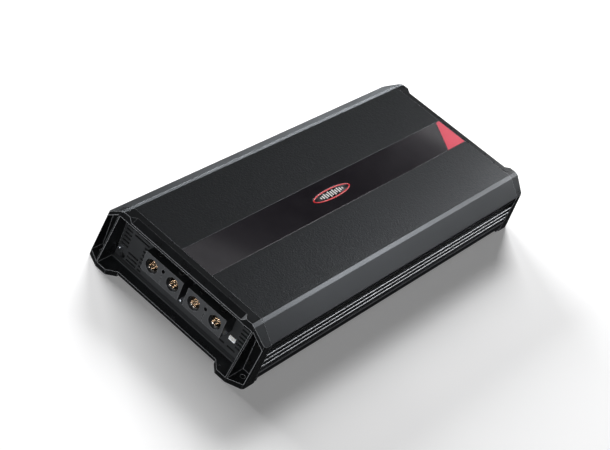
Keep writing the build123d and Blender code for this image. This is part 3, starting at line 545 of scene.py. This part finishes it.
def detailed(node, width, segments=2, extra=None, chooser=None, angle=SHARP_ANGLE):
    """The node's own shape with its edges rounded by width, in mm.

    The faces that chooser picks take the extra material.
    """
    built = mesh_of(node)
    materials = [SLOT_MATERIALS[slot_of[node]]]
    if extra is not None:
        materials.append(extra)
        for face in built.faces:
            face.material_index = int(chooser(face))
    piece = put(f"{node}_detailed", built, body_of[node], materials, [node], angle)
    return round_edges(piece, width, segments, angle)


TIP_DEPTH = 0.7 * MM               # faces this near to the widest point are tips
TIP_HEIGHTS = (14 * MM, 42 * MM)   # from just under the rail's upper edge to above the top fin
HOUSING_FRONT_X = 255.5 * MM       # the housings' front faces lie beyond this


def is_sloping(face):
    """All of the cover but its flat top."""
    return face.normal.z < 0.99


def is_fin_tip(face):
    """The outermost faces of the three fins and the upper edge of the rail."""
    centre = face.calc_center_median()
    lowest, highest = TIP_HEIGHTS
    return abs(centre.y) > cad_bounds[1][1] - TIP_DEPTH and lowest < centre.z < highest


def is_not_front(face):
    """All of a terminal housing but its front face."""
    return abs(face.normal.x) < 0.9 or abs(face.calc_center_median().x) < HOUSING_FRONT_X


detailed("top_cover", 0.35, 3, shoulder_paint(), is_sloping, FLAT_ANGLE)
for cap in ("end_cap_power", "end_cap_signal"):
    detailed(cap, 0.5, 3, angle=FLAT_ANGLE)

# the fin tips and the rail's upper edge take bright metal: a painted highlight
tip_highlight = fin_tip_highlight()
for heatsink in ("heatsink_left", "heatsink_right"):
    detailed(heatsink, 0.25, 2, tip_highlight, is_fin_tip)

# all faces but the grey fronts take black: painted shade under the cap's roof and in the cable mouths
housing_shade = painted_shade_plastic()
for housing in ("power_housing_positive", "power_housing_negative", "speaker_housing"):
    detailed(housing, 0.3, 2, housing_shade, is_not_front)

# width of the rounds on each node's edges, mm
EDGE_WIDTHS = {
    "stripe_inlay": 0.25, "accent_inlay": 0.15, "bottom_plate": 0.25,
    "end_panel_power": 0.18, "end_panel_signal": 0.18,
    "power_terminals_positive": 0.35, "power_terminals_negative": 0.35, "speaker_terminals": 0.35,
    "housing_screws": 0.15, "cap_screws": 0.15, "bottom_screws": 0.15, "end_panel_screws": 0.2,
    "aux_header": 0.12, "aux_header_pins": 0.08, "panel_brackets": 0.15,
    "intake_fan_frame": 0.3, "exhaust_fan_frame": 0.3,
    "rca_jack_body": 0.15, "rca_jack_shells": 0.12, "phase_switch_body": 0.12,
    "status_leds": 0.15, "phase_switch_slider": 0.12,
    "level_knob": 0.12, "lowpass_knob": 0.12, "highpass_knob": 0.12, "bass_knob": 0.12,
}
for node in slot_of:
    if "set_screw" in node:
        EDGE_WIDTHS[node] = 0.12
for node, width in EDGE_WIDTHS.items():
    detailed(node, width)

# what is inside keeps its CAD shape and takes a finished material
for node, item in frame["nodes"].items():
    if not item.hide_render:
        item.data.materials.clear()
        item.data.materials.append(SLOT_MATERIALS[slot_of[node]])


# ---------------------------------------------------------------- emblem, border and dial marks
def ellipse_points(half_x, half_y, count):
    """Points round an oval about the origin."""
    for step in range(count):
        turn = 2 * math.pi * step / count
        yield half_x * math.cos(turn), half_y * math.sin(turn)


def join_loops(built, first, second):
    """Quads between two closed loops of vertices."""
    count = len(first)
    for i in range(count):
        j = (i + 1) % count
        built.faces.new((first[i], first[j], second[j], second[i]))


def add_block(built, centre, size, corner=0.0):
    """A block in an open bmesh, its upright edges rounded by corner."""
    made = bmesh.ops.create_cube(built, size=1.0)["verts"]
    for vertex in made:
        vertex.co = Vector(c + s * v for c, s, v in zip(centre, size, vertex.co))
    if corner:
        uprights = [
            edge for edge in {e for v in made for e in v.link_edges}
            if abs(edge.verts[0].co.z - edge.verts[1].co.z) > size[2] / 2
        ]
        bmesh.ops.bevel(
            built, geom=uprights, offset=corner, segments=4, affect="EDGES", profile=0.5
        )


EMBLEM_SIDES = 128
RING_WIDTH = 1.7 * MM
RING_STEPS = 10
FIELD_DEPTH = 0.55 * MM      # how far the field lies below the ring's top
FIELD_BREAK = 0.1 * MM
BAR_HEIGHTS = (0.30, 0.52, 0.78, 0.60, 0.98, 0.70, 0.90, 0.56, 0.74, 0.46, 0.28)
BAR_SPACING = 3.9 * MM
BAR_WIDTH = 2.0 * MM
BAR_RISE = 0.35 * MM
BAR_SINK = 0.02 * MM
BAR_CORNER = 0.6 * MM
BAR_CLEARANCE = 1.0 * MM     # between the ring and the room for the bars
BAR_EDGE = 0.08              # mm
BAR_EDGE_ANGLE = 50.0        # degrees


def emblem_loop(built, centre, half_x, half_y, z):
    """A closed oval loop of vertices at height z."""
    return [
        built.verts.new((centre.x + x, centre.y + y, z))
        for x, y in ellipse_points(half_x, half_y, EMBLEM_SIDES)
    ]


def emblem_field(centre, half_x, half_y, bottom_z, field_z):
    """Dark oval plate with a small break along its edge."""
    built = bmesh.new()
    rings = []
    for share, z in ((1.0, bottom_z), (1.0, field_z - FIELD_BREAK), (0.99, field_z)):
        rings.append(emblem_loop(built, centre, half_x * share, half_y * share, z))
    for lower, upper in zip(rings, rings[1:]):
        join_loops(built, lower, upper)
    built.faces.new(rings[-1])
    built.faces.new(list(reversed(rings[0])))
    materials = [SLOT_MATERIALS["stripe_gloss"]]
    put("emblem_field", built, "chassis", materials, ["emblem_plate"])


def emblem_ring(centre, half_x, half_y, field_z, top_z):
    """Red ring with a half-round top."""
    built = bmesh.new()
    loops = []
    for step in range(RING_STEPS):
        turn = math.pi * step / (RING_STEPS - 1)
        inset = RING_WIDTH * (1 - math.cos(turn)) / 2
        z = field_z + (top_z - field_z) * math.sin(turn)
        loops.append(emblem_loop(built, centre, half_x - inset, half_y - inset, z))
    for outer, inner in zip(loops, loops[1:] + loops[:1]):
        join_loops(built, outer, inner)
    bmesh.ops.recalc_face_normals(built, faces=built.faces)
    put("emblem_ring", built, "chassis", [SLOT_MATERIALS["emblem_enamel"]])


def emblem_bars(centre, half_y, field_z):
    """Row of level bars; each height is a share of the room inside the ring."""
    built = bmesh.new()
    room = 2 * (half_y - RING_WIDTH - BAR_CLEARANCE)
    for number, height in enumerate(BAR_HEIGHTS):
        x = centre.x + (number - (len(BAR_HEIGHTS) - 1) / 2) * BAR_SPACING
        size = (BAR_WIDTH, height * room, BAR_RISE)
        add_block(built, (x, centre.y, field_z + BAR_RISE / 2 - BAR_SINK), size, BAR_CORNER)
    piece = put("emblem_bars", built, "chassis", [emblem_white()])
    round_edges(piece, BAR_EDGE, 2, BAR_EDGE_ANGLE)


def emblem():
    """Oval emblem: a dark field, a rounded red ring and a row of level bars."""
    low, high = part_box("emblem_plate")
    centre = (low + high) / 2
    half_x = (high.x - low.x) / 2
    half_y = (high.y - low.y) / 2
    field_z = high.z - FIELD_DEPTH
    emblem_field(centre, half_x, half_y, low.z, field_z)
    emblem_ring(centre, half_x, half_y, field_z, high.z)
    emblem_bars(centre, half_y, field_z)


BORDER_WIDTH = 0.7 * MM
BORDER_RISE = 0.06 * MM


def border():
    """Thin dark frame that lies on the edges of the red corner."""
    low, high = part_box("accent_inlay")
    corners = [vertex.co for vertex in frame["nodes"]["accent_inlay"].data.vertices]
    slant_x = min(corner.x for corner in corners if corner.y > high.y - 0.1 * MM)
    outline = [
        Vector((slant_x, high.y)), Vector((high.x, high.y)),
        Vector((high.x, low.y)), Vector((low.x, low.y)),
    ]
    centre = sum(outline, Vector((0.0, 0.0))) / len(outline)
    inner = []
    for i, corner in enumerate(outline):
        before = (outline[i - 1] - corner).normalized()
        after = (outline[(i + 1) % len(outline)] - corner).normalized()
        half_angle = before.angle(after) / 2
        inward = (before + after).normalized()
        if inward.dot(centre - corner) < 0:
            inward = -inward
        inner.append(corner + inward * BORDER_WIDTH / math.sin(half_angle))
    built = bmesh.new()
    levels = []
    for points in (outline, inner):
        levels.append([
            [built.verts.new((point.x, point.y, high.z + rise)) for point in points]
            for rise in (0.0, BORDER_RISE)
        ])
    (out_low, out_high), (in_low, in_high) = levels
    join_loops(built, out_high, in_high)
    join_loops(built, out_low, out_high)
    join_loops(built, in_high, in_low)
    join_loops(built, in_low, out_low)
    bmesh.ops.recalc_face_normals(built, faces=built.faces)
    put("accent_border", built, "chassis", [accent_border()])


MARK_COUNT = 11              # over the knob's whole travel
MARK_TRAVEL = math.radians(280)
MARK_GAP = 0.75 * MM         # between the knob and its marks
LONG_MARK = 0.75 * MM
SHORT_MARK = 0.5 * MM
MARK_HALF_WIDTH = 0.09 * MM
MARK_HALF_DEPTH = 0.03 * MM
MARK_LIFT = 0.015 * MM       # the middle of the print stands this far out of the panel


def add_mark(built, centre, turn, inner_r, length):
    """One thin printed line, turned about the knob's axis."""
    radial = Vector((0, math.sin(turn), math.cos(turn)))
    across = Vector((0, math.cos(turn), -math.sin(turn)))
    middle = centre + radial * (inner_r + length / 2)
    corners = []
    for depth in (-MARK_HALF_DEPTH, MARK_HALF_DEPTH):
        for a, b in ((-1, -1), (1, -1), (1, 1), (-1, 1)):
            point = middle + across * a * MARK_HALF_WIDTH + radial * b * length / 2
            point.x += depth
            corners.append(built.verts.new(point))
    built.faces.new(corners[4:])
    built.faces.new(corners[3::-1])
    join_loops(built, corners[:4], corners[4:])


def dial_marks():
    """Printed marks round each knob, longer at both ends and in the middle."""
    face_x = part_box("top_cover")[1].x
    built = bmesh.new()
    for knob in ("level_knob", "lowpass_knob", "highpass_knob", "bass_knob"):
        low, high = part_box(knob)
        centre = Vector((face_x + MARK_LIFT, (low.y + high.y) / 2, (low.z + high.z) / 2))
        inner_r = (high.y - low.y) / 2 + MARK_GAP
        for number in range(MARK_COUNT):
            turn = MARK_TRAVEL * (number / (MARK_COUNT - 1) - 0.5)
            is_long = number in (0, MARK_COUNT // 2, MARK_COUNT - 1)
            add_mark(built, centre, turn, inner_r, LONG_MARK if is_long else SHORT_MARK)
    bmesh.ops.recalc_face_normals(built, faces=built.faces)
    put("dial_marks", built, "chassis", [scale_print()])


emblem()
border()
dial_marks()


# ---------------------------------------------------------------- floor and light
def make_floor():
    """Plain white sheet under the object, lit softly from behind like a photographer's table."""
    built = bmesh.new()
    bmesh.ops.create_grid(built, x_segments=8, y_segments=8, size=6.0)
    mesh = bpy.data.meshes.new("floor")
    built.to_mesh(mesh)
    built.free()
    shader = Shader("floor_acrylic", (0.86, 0.86, 0.865), 0.75)
    shader.set("Emission Color", (1.0, 1.0, 1.0, 1.0)).set("Emission Strength", 0.21)
    shader.mottle(0.4, 0.01).vary_roughness(0.2, 0.05)
    mesh.materials.append(shader.material)
    floor = bpy.data.objects.new("floor", mesh)
    scene.collection.objects.link(floor)
    floor.visible_glossy = False   # the dark paint would otherwise mirror the white sheet
    return floor


def area_light(name, place, target, size, power, colour=(1.0, 1.0, 1.0)):
    """Soft box at place, facing target."""
    data = bpy.data.lights.new(name, "AREA")
    data.shape = "RECTANGLE"
    data.size, data.size_y = size
    data.energy = power
    data.color = colour
    light = bpy.data.objects.new(name, data)
    light.location = place
    light.rotation_mode = "QUATERNION"
    light.rotation_quaternion = (Vector(target) - Vector(place)).to_track_quat("-Z", "Y")
    scene.collection.objects.link(light)
    return light


def link_light(light, target, state):
    """Makes the light fall on the target only (INCLUDE) or on everything else (EXCLUDE)."""
    receivers = bpy.data.collections.new(f"{light.name}_receivers")
    receivers.objects.link(target)
    receivers.collection_objects[0].light_linking.link_state = state
    light.light_linking.receiver_collection = receivers


floor = make_floor()
centre = (0.0, 0.0, 0.05)
power_end = (-0.25, 0.0, 0.04)
signal_half = (0.1, -0.05, 0.07)
object_lights = [
    area_light("far_side", polar(90, 13, 3.0), centre, (2.8, 1.0), 30),
    area_light("far_shoulder", polar(42, 1.6, 2.6), centre, (1.6, 0.13), 20, (0.9, 0.95, 1.0)),
    area_light("far_side_high", polar(110, 30, 2.4), centre, (1.2, 0.8), 5),
    area_light("ridge", polar(-12, 41, 2.4), centre, (0.5, 0.5), 5.5),
    area_light("shoulder", polar(-35, 30, 2.2), centre, (0.8, 0.5), 6),
    area_light("near_top", (0.35, -0.15, 0.50), (0.0, -0.05, 0.07), (0.3, 0.3), 1.2),
    area_light("power_end", polar(160, 20, 2.0), power_end, (0.8, 0.5), 9),
    area_light("power_end_front", polar(200, 25, 1.6), power_end, (0.5, 0.3), 10),
    area_light("signal_end", (0.85, -0.15, 0.35), signal_half, (0.5, 0.15), 2.5),
    area_light("near_glow", polar(30, 45, 2.4), centre, (0.6, 0.25), 0.28),
    area_light("far_glow", polar(18, 28.5, 2.4), centre, (0.5, 0.22), 0.35),
]
for light in object_lights:
    link_light(light, floor, "EXCLUDE")

# two low lights for the sheet alone, which throw the object's shadow to the near side and the power end
table_lights = [
    area_light("table_far", polar(78, 17, 3.0), centre, (2.0, 0.9), 172),
    area_light("table_end", polar(35, 33, 3.0), centre, (1.2, 1.1), 106),
]
for light in table_lights:
    link_light(light, floor, "INCLUDE")


def make_world():
    """Faint cool light from all round."""
    world = bpy.data.worlds.new("studio")
    world.use_nodes = True
    background = world.node_tree.nodes["Background"]
    background.inputs["Color"].default_value = (0.97, 0.98, 1.0, 1.0)
    background.inputs["Strength"].default_value = 0.03
    scene.world = world


make_world()
scene.view_settings.view_transform = "Standard"
